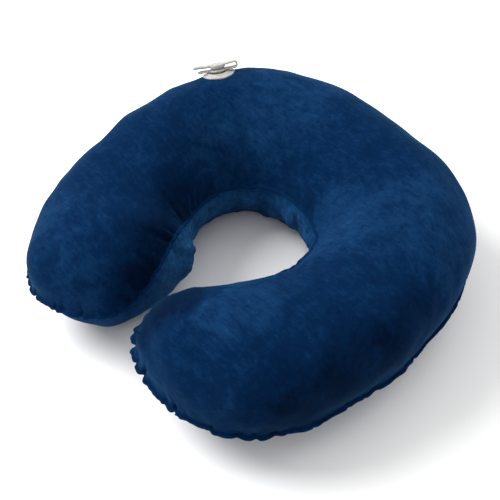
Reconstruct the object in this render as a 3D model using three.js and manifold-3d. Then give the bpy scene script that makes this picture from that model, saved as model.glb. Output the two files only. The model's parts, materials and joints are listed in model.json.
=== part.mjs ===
// Inflatable travel neck pillow, U shaped: two flocked sheets welded along one closed outline, blown up
// into a fat curved tube, with a push-in mouth valve on the outer side of the left arm.
// Millimetres. +Z up, the arms open towards -Y, and the pillow lies on z = 0 about x = 0.
import * as THREE from "three";
import { mergeVertices } from "three/addons/utils/BufferGeometryUtils.js";
import Module from "manifold-3d";

const wasm = await Module();
wasm.setup();

// ---- driving dimensions: the tube ----
// Each of these varies round the ring with the angle a, which is 0 at the back and grows towards the right
// (+X) arm. even holds the mean and the terms in cos(a), cos(2a), ..., and odd the terms in sin(a), sin(2a),
// ..., which make the arms differ. right and left are added near the end of that arm only. A soft pillow
// never lies quite evenly: the left arm is the fuller one at its end.
const CENTRELINE_RADIUS = { even: [121.6, -0.2, 1, -2.8, -4], odd: [2, -5.4], right: -8, left: -1.3 };
const HALF_WIDTH = { even: [61.1, 0.2, 1.2, 0, -4], odd: [3.9], right: -5.6, left: 4.7 };
const HALF_HEIGHT = { even: [58.6, 1.7, 2], odd: [-3.8], right: 3.6, left: -5.7 };
// How far the outer seam lies below the tube's equator, and the inner seam above it.
const OUTER_SEAM_DROP_DEG = { even: [18.9, 4, -7], odd: [2.7] };
const INNER_SEAM_RISE_DEG = { even: [18.3, -4.3, 1], odd: [10.6], right: -15.2, left: 15.1 };
// Height of the tube's middle, below the half height, so that the underside is pressed flat.
const EQUATOR_HEIGHT = { even: [53.5], right: -1.1, left: -1 };
const OUTWARD_RISE = { even: [0.12, 0.05] }; // slope of the section, which leans with its outer side up
const ARM_END_DEG = 150; // where the right and left terms are at their full size
const ARM_END_SPREAD_DEG = 35;
const RING_CENTRE = [-2.5, -6.8]; // puts the origin under the middle of the whole outline
const TIP_ANGLE_DEG = { left: 173.8, right: 176.1 }; // from the middle of the back to the tip of each arm
const TIP_LENGTH = { left: 63.1, right: 114.3 }; // stretch over which an arm rounds off to nothing
const TIP_SQUARENESS = 2.08; // 2 is an elliptical end, more is fuller
const NECK_BULGE = 0.0465; // how far the lower sheet swells into the neck opening, as a part of half width
const NECK_BULGE_AT_DEG = 197;
const NECK_BULGE_SPREAD_DEG = 40;

// ---- driving dimensions: sheets and weld ----
const SHEET = 1.2;
const GAP = 0.35;
const WELD_STANDOFF = 0.7;
const WELD_THICKNESS = 1;
const WELD_WIDTH_OUTER = 4.5;
const WELD_WIDTH_INNER = 2.2;

// ---- driving dimensions: valve, in its own frame, z out of the pillow from the sheet's face ----
const VALVE_RING_ANGLE_DEG = -55;
const VALVE_ELEVATION_DEG = 60;
const STRAP_TURN_DEG = -11; // the strap's direction, turned about the valve from along the arm
const FLANGE_RADIUS = 15;
const WELL_HOLE_RADIUS = 8.9;
const STEM_RADIUS = 4.7;
const STEM_BORE_RADIUS = 2.9;
const STEM_TOP = 5.6;
const STEM_BOTTOM = -15;
const STRAP_WIDTH = 7.4;
const STRAP_THICKNESS = 1.6;
const STRAP_BASE = 2.6;
const COLLAR_RADIUS = 8;
const COLLAR_TAIL_X = -19; // end of the tail by which the collar is pulled up
const HAIRPIN_X = 15.7;
const HAIRPIN_RADIUS = 3.5;
const CAP_RADIUS = 7.4;
const CAP_BASE = 6;
const CAP_TAB_X = -23;
const CAP_TAB_THICKNESS = 2.2;
const TONGUE_ROOT = 4;
const HINGE_GAP = 0.3;

// ---- resolution ----
const STATIONS = 44;
const TIP_STATION_SPACING = 12;
const AROUND = 11;
const TURN_SEGMENTS = 32;

const radians = THREE.MathUtils.degToRad;

// The value of a dimension that varies round the ring.
function varied({ even, odd = [], right = 0, left = 0 }, angle) {
  const fromEnd = (side) => (side * angle - radians(ARM_END_DEG)) / radians(ARM_END_SPREAD_DEG);
  const nearEnd = (side) => Math.exp(-(fromEnd(side) ** 2));
  const evenPart = even.reduce((sum, term, k) => sum + term * Math.cos(k * angle), 0);
  const oddPart = odd.reduce((sum, term, k) => sum + term * Math.sin((k + 1) * angle), 0);
  return evenPart + oddPart + right * nearEnd(1) + left * nearEnd(-1);
}

// ---- the ring that the tube follows ----
const ringPoint = (angle) => {
  const radius = varied(CENTRELINE_RADIUS, angle);
  const [x, y] = [radius * Math.sin(angle), radius * Math.cos(angle)];
  return new THREE.Vector2(RING_CENTRE[0] + x, RING_CENTRE[1] + y);
};

const RING_SAMPLES = 720;
const ringAngles = [];
const ringLengths = [0];
for (let i = 0; i <= RING_SAMPLES; i += 1) {
  ringAngles.push(radians(THREE.MathUtils.lerp(-TIP_ANGLE_DEG.left, TIP_ANGLE_DEG.right, i / RING_SAMPLES)));
  if (i > 0) {
    const step = ringPoint(ringAngles[i]).distanceTo(ringPoint(ringAngles[i - 1]));
    ringLengths.push(ringLengths[i - 1] + step);
  }
}
const RING_LENGTH = ringLengths[RING_SAMPLES];

function angleAtLength(length) {
  let i = 1;
  while (i < RING_SAMPLES && ringLengths[i] < length) i += 1;
  const part = (length - ringLengths[i - 1]) / (ringLengths[i] - ringLengths[i - 1]);
  return THREE.MathUtils.lerp(ringAngles[i - 1], ringAngles[i], part);
}

// A station is one cross-section: its place, the way out of the ring, and how much the tip shrinks it.
function stationAt(length, inset = 0) {
  const angle = angleAtLength(length);
  const place = ringPoint(angle);
  const along = ringPoint(angle + 1e-4).sub(ringPoint(angle - 1e-4)).normalize();
  const outward = new THREE.Vector2(-along.y, along.x);
  const end = length < RING_LENGTH / 2 ? -1 : 1;
  const toTip = (end < 0 ? length : RING_LENGTH - length) - inset;
  const span = (end < 0 ? TIP_LENGTH.left : TIP_LENGTH.right) - inset;
  const part = THREE.MathUtils.clamp(toTip / span, 0, 1);
  const shrink = Math.sqrt(1 - (1 - part) ** TIP_SQUARENESS);
  return { angle, place, along, outward, shrink, end, inset };
}

// Lengths of the stations, close together at the rounded tips.
function stationLengths(inset = 0) {
  const tip = (tipLength) => {
    const count = Math.round(tipLength / TIP_STATION_SPACING);
    const part = (i) => 1 - Math.cos((i / count) * (Math.PI / 2));
    return Array.from({ length: count }, (_, i) => inset + (tipLength - inset) * part(i));
  };
  const [from, to] = [TIP_LENGTH.left, RING_LENGTH - TIP_LENGTH.right];
  const middle = Array.from({ length: STATIONS + 1 }, (_, i) => THREE.MathUtils.lerp(from, to, i / STATIONS));
  const right = tip(TIP_LENGTH.right).map((length) => RING_LENGTH - length);
  return [...tip(TIP_LENGTH.left), ...middle, ...right.reverse()];
}

// A point of the tube's wall. turn is 0 at the outer equator, 90 degrees at the top, 180 at the neck.
function tubePoint(station, turn) {
  const halfWidth = (varied(HALF_WIDTH, station.angle) - station.inset) * station.shrink;
  const halfHeight = (varied(HALF_HEIGHT, station.angle) - station.inset) * station.shrink;
  const fromBulge = Math.atan2(
    Math.sin(turn - radians(NECK_BULGE_AT_DEG)),
    Math.cos(turn - radians(NECK_BULGE_AT_DEG)),
  );
  const bulge = NECK_BULGE * Math.exp(-((fromBulge / radians(NECK_BULGE_SPREAD_DEG)) ** 2));
  const out = halfWidth * (Math.cos(turn) - bulge);
  const up = halfHeight * Math.sin(turn) + out * varied(OUTWARD_RISE, station.angle);
  return new THREE.Vector3(
    station.place.x + station.outward.x * out,
    station.place.y + station.outward.y * out,
    Math.max(varied(EQUATOR_HEIGHT, station.angle) + up, station.inset),
  );
}

const outerSeamTurn = (station) => -radians(varied(OUTER_SEAM_DROP_DEG, station.angle));
const innerSeamTurn = (station) => Math.PI - radians(varied(INNER_SEAM_RISE_DEG, station.angle));

// ---- mesh helpers ----
function geometryOf(points, triangles) {
  const geometry = new THREE.BufferGeometry();
  const coordinates = points.flatMap((p) => [p.x, p.y, p.z]);
  geometry.setAttribute("position", new THREE.Float32BufferAttribute(coordinates, 3));
  geometry.setIndex(triangles);
  return geometry;
}

function solidOf(geometry) {
  const bare = geometry.clone();
  bare.deleteAttribute("normal");
  bare.deleteAttribute("uv");
  const merged = mergeVertices(bare, 1e-3);
  return new wasm.Manifold(
    new wasm.Mesh({
      numProp: 3,
      vertProperties: new Float32Array(merged.attributes.position.array),
      triVerts: new Uint32Array(merged.index.array),
    }),
  );
}

function geometryOfSolid(solid) {
  const mesh = solid.getMesh();
  const geometry = new THREE.BufferGeometry();
  geometry.setAttribute("position", new THREE.BufferAttribute(mesh.vertProperties, 3));
  geometry.setIndex(new THREE.BufferAttribute(mesh.triVerts, 1));
  return geometry;
}

const joined = (first, ...others) =>
  geometryOfSolid(others.reduce((solid, other) => solid.add(solidOf(other)), solidOf(first)));

// ---- sheets ----
// A sheet is a shell between two like surfaces. Each surface runs from tip to tip, with one point at
// each tip, and its rows run from one seam to the other.
function sheetSurface(inset, fromTurn, toTurn, lift) {
  const lengths = stationLengths(inset);
  const points = [];
  const rows = [];
  lengths.forEach((length, i) => {
    const station = stationAt(length, inset);
    const atTip = i === 0 || i === lengths.length - 1;
    const row = [];
    const from = fromTurn(station);
    const to = toTurn(station);
    for (let j = 0; j <= AROUND; j += 1) {
      if (!atTip || j === 0) {
        const point = tubePoint(station, THREE.MathUtils.lerp(from, to, j / AROUND));
        point.z += lift;
        points.push(point);
      }
      row.push(points.length - 1);
    }
    rows.push(row);
  });
  return { points, rows };
}

function quad(triangles, a, b, c, d) {
  if (a !== b && b !== c && a !== c) triangles.push(a, b, c);
  if (a !== c && c !== d && a !== d) triangles.push(a, c, d);
}

function sheetGeometry(fromTurn, toTurn, lift) {
  const skin = sheetSurface(0, fromTurn, toTurn, lift);
  const lining = sheetSurface(SHEET, fromTurn, toTurn, lift);
  const shift = skin.points.length;
  const triangles = [];
  const last = skin.rows.length - 1;
  for (let i = 0; i < last; i += 1) {
    for (let j = 0; j < AROUND; j += 1) {
      const [a, b] = [skin.rows[i][j], skin.rows[i][j + 1]];
      const [d, c] = [skin.rows[i + 1][j], skin.rows[i + 1][j + 1]];
      quad(triangles, a, b, c, d);
      quad(triangles, lining.rows[i][j] + shift, lining.rows[i + 1][j] + shift,
        lining.rows[i + 1][j + 1] + shift, lining.rows[i][j + 1] + shift);
    }
    for (const [j, flip] of [[0, false], [AROUND, true]]) {
      const [a, b] = [skin.rows[i][j], skin.rows[i + 1][j]];
      const [d, c] = [lining.rows[i][j] + shift, lining.rows[i + 1][j] + shift];
      if (flip) quad(triangles, a, d, c, b);
      else quad(triangles, a, b, c, d);
    }
  }
  return geometryOf([...skin.points, ...lining.points], triangles);
}

// ---- weld band: one closed loop, out along the outer seam and back along the inner one ----
function weldBandGeometry() {
  const lengths = stationLengths();
  const sides = [
    { turn: outerSeamTurn, sign: 1, width: WELD_WIDTH_OUTER, order: lengths },
    { turn: innerSeamTurn, sign: -1, width: WELD_WIDTH_INNER, order: [...lengths].reverse() },
  ];
  const tipWidth = (WELD_WIDTH_OUTER + WELD_WIDTH_INNER) / 2;
  const points = [];
  for (const { turn, sign, width, order } of sides) {
    for (const length of order.slice(0, -1)) {
      const station = stationAt(length);
      const seam = tubePoint(station, turn(station));
      const lean = Math.sqrt(Math.max(0, 1 - station.shrink ** 2)) * station.end;
      const away = station.outward.clone().multiplyScalar(sign * station.shrink);
      away.addScaledVector(station.along, lean).normalize();
      const reach = THREE.MathUtils.lerp(tipWidth, width, station.shrink);
      for (const [offset, z] of [
        [WELD_STANDOFF, -WELD_THICKNESS / 2],
        [WELD_STANDOFF + reach, -WELD_THICKNESS / 2],
        [WELD_STANDOFF + reach, WELD_THICKNESS / 2],
        [WELD_STANDOFF, WELD_THICKNESS / 2],
      ]) {
        const [x, y] = [seam.x + away.x * offset, seam.y + away.y * offset];
        points.push(new THREE.Vector3(x, y, seam.z + z + GAP / 2));
      }
    }
  }
  const triangles = [];
  const count = points.length / 4;
  for (let i = 0; i < count; i += 1) {
    const next = (i + 1) % count;
    for (let k = 0; k < 4; k += 1) {
      const side = (k + 1) % 4;
      quad(triangles, i * 4 + k, i * 4 + side, next * 4 + side, next * 4 + k);
    }
  }
  return geometryOf(points, triangles);
}

// ---- valve frame: x along the strap, roughly along the arm to the back, z out of the pillow ----
let valveLength = 0;
while (angleAtLength(valveLength) < radians(VALVE_RING_ANGLE_DEG)) valveLength += 0.5;
const valveStation = stationAt(valveLength);
const valveTurn = radians(VALVE_ELEVATION_DEG);
const valveSeat = tubePoint(valveStation, valveTurn).add(new THREE.Vector3(0, 0, GAP));
const PROBE = 12;
const probeTurn = PROBE / varied(HALF_WIDTH, valveStation.angle);
const seatAhead = tubePoint(stationAt(valveLength + PROBE), valveTurn);
const seatBehind = tubePoint(stationAt(valveLength - PROBE), valveTurn);
const seatAbove = tubePoint(valveStation, valveTurn + probeTurn);
const seatBelow = tubePoint(valveStation, valveTurn - probeTurn);
const alongArm = seatAhead.clone().sub(seatBehind).normalize();
const outOfSheet = seatAbove.clone().sub(seatBelow).cross(alongArm).normalize();
const acrossArm = outOfSheet.clone().cross(alongArm);
const strapCos = Math.cos(radians(STRAP_TURN_DEG));
const strapSin = Math.sin(radians(STRAP_TURN_DEG));
const valveX = alongArm.clone().multiplyScalar(strapCos).addScaledVector(acrossArm, strapSin);
const valveY = outOfSheet.clone().cross(valveX);

// The sheet falls away from the seat as a shallow bowl turned over; the flange is bent to match.
function fallOf(a, b) {
  const middle = a.clone().add(b).multiplyScalar(0.5).add(new THREE.Vector3(0, 0, GAP));
  return -middle.sub(valveSeat).dot(outOfSheet) / (a.distanceTo(b) / 2) ** 2;
}
const fallAlong = fallOf(seatAhead, seatBehind);
const fallAcross = fallOf(seatAbove, seatBelow);

function bentToSheet(geometry) {
  const position = geometry.attributes.position;
  for (let i = 0; i < position.count; i += 1) {
    const [x, y] = [position.getX(i), position.getY(i)];
    const along = x * strapCos - y * strapSin;
    const across = x * strapSin + y * strapCos;
    position.setZ(i, position.getZ(i) - fallAlong * along ** 2 - fallAcross * across ** 2);
  }
  return geometry;
}

function turned(profile) {
  const points = profile.map(([radius, z]) => new THREE.Vector2(radius, z));
  return new THREE.LatheGeometry(points, TURN_SEGMENTS).rotateX(Math.PI / 2);
}

// A flat outline in x and z, made STRAP_WIDTH (or another width) wide across the strap.
function acrossStrap(shape, width = STRAP_WIDTH) {
  const settings = { depth: width, bevelEnabled: false, curveSegments: 10 };
  return new THREE.ExtrudeGeometry(shape, settings).rotateX(Math.PI / 2).translate(0, width / 2, 0);
}

// ---- valve pieces ----
const FLANGE_PROFILE = [
  [5, -5], [6.2, -5], [8.1, 0.2], [8.5, 0.45], [11.5, 0.45], [FLANGE_RADIUS, 0.45], [FLANGE_RADIUS, 0.9],
  [14.2, 1.25], [11.4, 1.3], [10.6, 2.1], [9.2, 2.1], [8.4, 1.4], [6, -4], [5, -4], [5, -5],
];
const flangeGeometry = () => bentToSheet(turned(FLANGE_PROFILE));

const stemGeometry = () =>
  turned([
    [STEM_BORE_RADIUS, STEM_BOTTOM], [STEM_RADIUS, STEM_BOTTOM], [STEM_RADIUS, STEM_TOP - 0.9],
    [5.4, STEM_TOP - 0.7], [5.4, STEM_TOP - 0.3], [5, STEM_TOP], [3.4, STEM_TOP],
    [STEM_BORE_RADIUS, STEM_TOP - 0.6], [STEM_BORE_RADIUS, STEM_BOTTOM],
  ]);

// A tongue from x = -4 out to a round end at endX, flat on z = base.
function tongueGeometry(endX, radius, base, thickness) {
  const tongue = new THREE.Shape();
  tongue.moveTo(-TONGUE_ROOT, -radius);
  tongue.lineTo(-TONGUE_ROOT, radius);
  tongue.lineTo(endX + radius, radius);
  tongue.absarc(endX + radius, 0, radius, Math.PI / 2, (3 * Math.PI) / 2, false);
  const settings = { depth: thickness, bevelEnabled: false, curveSegments: 8 };
  return new THREE.ExtrudeGeometry(tongue, settings).translate(0, 0, base);
}

// Collar that grips the stem, its tail, the lower leaf of the strap and the bend at the leaf's end.
function strapGeometry() {
  const top = STRAP_BASE + STRAP_THICKNESS;
  const bore = STEM_RADIUS + 0.3;
  const hole = turned([[0, 0], [bore, 0], [bore, STEM_TOP], [0, STEM_TOP]]);
  const ring = turned([[0, STRAP_BASE], [COLLAR_RADIUS, STRAP_BASE], [COLLAR_RADIUS, top], [0, top]]);
  const tail = tongueGeometry(COLLAR_TAIL_X, STRAP_WIDTH / 2, STRAP_BASE, STRAP_THICKNESS);
  const bendCentre = STRAP_BASE + HAIRPIN_RADIUS;
  const leaf = new THREE.Shape();
  leaf.moveTo(5.8, STRAP_BASE);
  leaf.lineTo(HAIRPIN_X, STRAP_BASE);
  leaf.absarc(HAIRPIN_X, bendCentre, HAIRPIN_RADIUS, -Math.PI / 2, Math.PI / 2, false);
  leaf.lineTo(HAIRPIN_X, bendCentre + HAIRPIN_RADIUS - STRAP_THICKNESS);
  leaf.absarc(HAIRPIN_X, bendCentre, HAIRPIN_RADIUS - STRAP_THICKNESS, Math.PI / 2, -Math.PI / 2, true);
  leaf.lineTo(5.8, top);
  const whole = [ring, tail, acrossStrap(leaf)].map(solidOf).reduce((a, b) => a.add(b));
  return geometryOfSolid(whole.subtract(solidOf(hole)));
}

function capGeometry() {
  const disc = turned([
    [0, 1.5], [2.2, 1.5], [2.6, CAP_BASE], [CAP_RADIUS - 0.4, CAP_BASE], [CAP_RADIUS, CAP_BASE + 0.5],
    [CAP_RADIUS, CAP_BASE + 2.2], [CAP_RADIUS - 0.8, CAP_BASE + 2.9], [3, CAP_BASE + 3.2],
    [0, CAP_BASE + 3.3],
  ]);
  const hingeTop = STRAP_BASE + 2 * HAIRPIN_RADIUS;
  const leafEnd = HAIRPIN_X - HINGE_GAP;
  const leaf = new THREE.Shape();
  leaf.moveTo(4.5, CAP_BASE + 1.2);
  leaf.lineTo(leafEnd, hingeTop - STRAP_THICKNESS);
  leaf.lineTo(leafEnd, hingeTop);
  leaf.lineTo(4.5, CAP_BASE + 2.6);
  const tab = tongueGeometry(CAP_TAB_X, STRAP_WIDTH / 2, CAP_BASE + 1, CAP_TAB_THICKNESS);
  return joined(disc, acrossStrap(leaf), tab);
}

function flapGeometry() {
  const top = STEM_BOTTOM - 0.3;
  const disc = turned([[0, top - 0.7], [4.2, top - 0.7], [4.2, top], [0, top]]);
  const lug = new THREE.BoxGeometry(2.2, 3, 0.7).translate(4.3, 0, top - 0.35);
  return joined(disc, lug);
}

// ---- materials ----
const flock = new THREE.MeshStandardMaterial({ color: 0x0a2c5a, roughness: 0.95, metalness: 0 });
const weldedFlock = new THREE.MeshStandardMaterial({ color: 0x06204a, roughness: 0.85, metalness: 0 });
const whitePvc = new THREE.MeshStandardMaterial({ color: 0xe9e8e4, roughness: 0.42, metalness: 0 });
const clearPvc = new THREE.MeshStandardMaterial({ color: 0xdfe4e6, roughness: 0.3, metalness: 0 });

function piece(name, geometry, material) {
  geometry.computeVertexNormals();
  const mesh = new THREE.Mesh(geometry, material);
  mesh.name = name;
  return mesh;
}

// ---- assembly ----
const valve = new THREE.Group();
valve.position.copy(valveSeat);
valve.quaternion.setFromRotationMatrix(new THREE.Matrix4().makeBasis(valveX, valveY, outOfSheet));
valve.updateMatrixWorld(true);

function topSheetGeometry() {
  const well = turned([[0, -12], [WELL_HOLE_RADIUS, -12], [WELL_HOLE_RADIUS, 12], [0, 12]]);
  const whole = sheetGeometry(outerSeamTurn, innerSeamTurn, GAP);
  return geometryOfSolid(solidOf(whole).subtract(solidOf(well.applyMatrix4(valve.matrixWorld))));
}

const pillow = new THREE.Group();
pillow.add(piece("top_sheet", topSheetGeometry(), flock));
const underTurn = (station) => outerSeamTurn(station) + 2 * Math.PI;
pillow.add(piece("bottom_sheet", sheetGeometry(innerSeamTurn, underTurn, 0), flock));
pillow.add(piece("weld_band", weldBandGeometry(), weldedFlock));
valve.add(piece("valve_flange", flangeGeometry(), whitePvc));
valve.add(piece("valve_stem", stemGeometry(), whitePvc));
valve.add(piece("cap_strap", strapGeometry(), whitePvc));
valve.add(piece("valve_cap", capGeometry(), whitePvc));
valve.add(piece("check_flap", flapGeometry(), clearPvc));
pillow.add(valve);

export default pillow;
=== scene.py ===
"""Inflatable U shaped travel neck pillow: flocked sheets, the weld round them and the mouth valve."""
import json
import math

import bpy
import numpy as np
from mathutils import Matrix, Vector
from mathutils.kdtree import KDTree


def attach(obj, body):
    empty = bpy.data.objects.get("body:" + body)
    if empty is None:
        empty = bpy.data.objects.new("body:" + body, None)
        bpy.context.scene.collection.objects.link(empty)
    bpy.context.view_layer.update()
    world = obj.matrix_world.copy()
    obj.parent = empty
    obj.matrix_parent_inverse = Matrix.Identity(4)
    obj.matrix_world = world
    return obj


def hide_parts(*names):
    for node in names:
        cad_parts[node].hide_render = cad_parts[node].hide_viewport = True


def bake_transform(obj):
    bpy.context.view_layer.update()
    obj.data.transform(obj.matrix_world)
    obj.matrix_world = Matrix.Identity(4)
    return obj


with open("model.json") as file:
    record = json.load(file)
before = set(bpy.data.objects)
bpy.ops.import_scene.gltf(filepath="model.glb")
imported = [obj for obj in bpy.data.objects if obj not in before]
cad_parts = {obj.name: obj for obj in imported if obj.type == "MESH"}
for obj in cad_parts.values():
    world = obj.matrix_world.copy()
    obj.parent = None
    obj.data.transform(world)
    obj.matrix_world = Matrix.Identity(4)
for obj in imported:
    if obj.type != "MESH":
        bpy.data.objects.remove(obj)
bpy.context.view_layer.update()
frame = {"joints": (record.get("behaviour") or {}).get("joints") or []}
MM = 0.001
scene = bpy.context.scene


# ---------------------------------------------------------------- camera
AIM = Vector((0, 0, 0.0366))
AZIMUTH, ELEVATION, ROLL = (math.radians(angle) for angle in (50.05, 46.55, -3.82))
CAMERA_DISTANCE = 0.8297
FOCAL_PIXELS = 947.8
CENTRE_PIXELS = (255.8, 249.4)
FRAME_PIXELS = 500


def make_camera():
    back = Vector((math.sin(AZIMUTH) * math.cos(ELEVATION), -math.cos(AZIMUTH) * math.cos(ELEVATION),
                   math.sin(ELEVATION)))
    level = Vector((math.cos(AZIMUTH), math.sin(AZIMUTH), 0))
    rise = back.cross(level)
    right = math.cos(ROLL) * level + math.sin(ROLL) * rise
    up = math.cos(ROLL) * rise - math.sin(ROLL) * level
    place = Matrix((right, up, back)).transposed().to_4x4()
    place.translation = AIM + back * CAMERA_DISTANCE
    data = bpy.data.cameras.new("camera")
    data.lens = data.sensor_width * FOCAL_PIXELS / FRAME_PIXELS
    data.shift_x = -(CENTRE_PIXELS[0] - FRAME_PIXELS / 2) / FRAME_PIXELS
    data.shift_y = (CENTRE_PIXELS[1] - FRAME_PIXELS / 2) / FRAME_PIXELS
    data.clip_start = 0.02
    camera = bpy.data.objects.new("camera", data)
    camera.matrix_world = place
    scene.collection.objects.link(camera)
    scene.camera = camera


make_camera()


# ---------------------------------------------------------------- tube, as in the CAD model, fuller in places
# Dimensions that vary round the ring, in mm and degrees: terms in the cosine and the sine of the angle round
# it and of its multiples, and how much more there is at the right and the left arm's end.
CENTRELINE_RADIUS = dict(even=(121.6, -0.2, 1, -2.8, -4), odd=(2, -5.4), right=-8, left=-1.3)
HALF_WIDTH = dict(even=(61.1, 0.2, 1.2, 0, -4), odd=(3.9,), right=-5.6, left=4.7)
HALF_HEIGHT = dict(even=(58.6, 1.7, 2), odd=(-3.8,), right=3.6, left=-5.7)
OUTER_SEAM_DROP = dict(even=(18.9, 4, -7), odd=(2.7,))
INNER_SEAM_RISE = dict(even=(18.3, -4.3, 1), odd=(10.6,), right=-15.2, left=15.1)
EQUATOR_HEIGHT = dict(even=(53.5,), right=-1.1, left=-1)
OUTWARD_RISE = dict(even=(0.12, 0.05))
ARM_END, ARM_END_SPREAD = math.radians(150), math.radians(35)
RING_CENTRE = np.array((-0.0025, -0.0068))
TIP_ANGLE = dict(left=math.radians(173.8), right=math.radians(176.1))
TIP_LENGTH = dict(left=0.0631, right=0.1143)
TIP_SQUARENESS = 2.08
NECK_BULGE, NECK_BULGE_AT, NECK_BULGE_SPREAD = 0.0465, math.radians(197), math.radians(40)

# Where the cloth stands fuller than that: degrees round the ring, spread, degrees round the tube, mm.
FULLNESS = ((-92, 15, 55, 5), (-150, 11, -15, 5), (90, 10, -15, 4), (132, 10, -15, 4),
            (165, 10, 150, 6))


def varied(dimension, angle, unit=MM):
    """Value of a dimension that varies round the ring."""
    total = sum(dimension.get(side, 0) * np.exp(-((sign * angle - ARM_END) / ARM_END_SPREAD) ** 2)
                for side, sign in (("right", 1), ("left", -1)))
    total = total + sum(term * np.cos(k * angle) for k, term in enumerate(dimension["even"]))
    total = total + sum(term * np.sin((k + 1) * angle) for k, term in enumerate(dimension.get("odd", ())))
    return total * unit


def ring_point(angle):
    """Place on the tube's centreline, seen from above; the angle is 0 at the back and grows to the right."""
    radius = varied(CENTRELINE_RADIUS, angle)
    return np.stack([radius * np.sin(angle), radius * np.cos(angle)], -1) + RING_CENTRE


def lengths_along(points):
    """How far along their polyline each of the points is."""
    return np.concatenate([[0], np.cumsum(np.linalg.norm(np.diff(points, axis=0), axis=1))])


ring_angles = np.linspace(-TIP_ANGLE["left"], TIP_ANGLE["right"], 3001)
ring_lengths = lengths_along(ring_point(ring_angles))
RING_LENGTH = ring_lengths[-1]


def tube_point(length, turn):
    """Point of the tube's wall: turn is 0 at the outer equator, 90 degrees at the top, 180 at the neck."""
    angle = np.interp(length, ring_lengths, ring_angles)
    along = ring_point(angle + 1e-3) - ring_point(angle - 1e-3)
    along /= np.linalg.norm(along, axis=-1, keepdims=True)
    shrink = 1
    for part in (length / TIP_LENGTH["left"], (RING_LENGTH - length) / TIP_LENGTH["right"]):
        shrink = shrink * np.sqrt(np.maximum(0, 1 - (1 - np.clip(part, 0, 1)) ** TIP_SQUARENESS))
    from_bulge = np.angle(np.exp(1j * (turn - NECK_BULGE_AT)))
    bulge = NECK_BULGE * np.exp(-(from_bulge / NECK_BULGE_SPREAD) ** 2)
    out = varied(HALF_WIDTH, angle) * shrink * (np.cos(turn) - bulge)
    up = varied(HALF_HEIGHT, angle) * shrink * np.sin(turn) + out * varied(OUTWARD_RISE, angle, 1)
    for at, spread, facing, amount in FULLNESS:
        near = np.exp(-((np.degrees(angle) - at) / spread) ** 2)
        swell = amount * MM * near * shrink * np.maximum(0, np.cos(turn - math.radians(facing))) ** 2
        out, up = out + swell * np.cos(turn), up + swell * np.sin(turn)
    place = ring_point(angle)
    return np.stack([place[..., 0] - along[..., 1] * out, place[..., 1] + along[..., 0] * out,
                     np.maximum(varied(EQUATOR_HEIGHT, angle) + up, 0)], -1)


# ---------------------------------------------------------------- the two sheets as one welded skin
# Each sheet is a grid. Its four sides run round the weld: the columns follow the arms, and a rounded tip
# is a half disc mapped from a square, so no row closes up into a point.
COLUMNS, ROWS = 320, 34
LEFT_TIP_COLUMNS, RIGHT_TIP_COLUMNS = 32, 54
FINENESS = 3
EDGE_ROWS = 1.15


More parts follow.
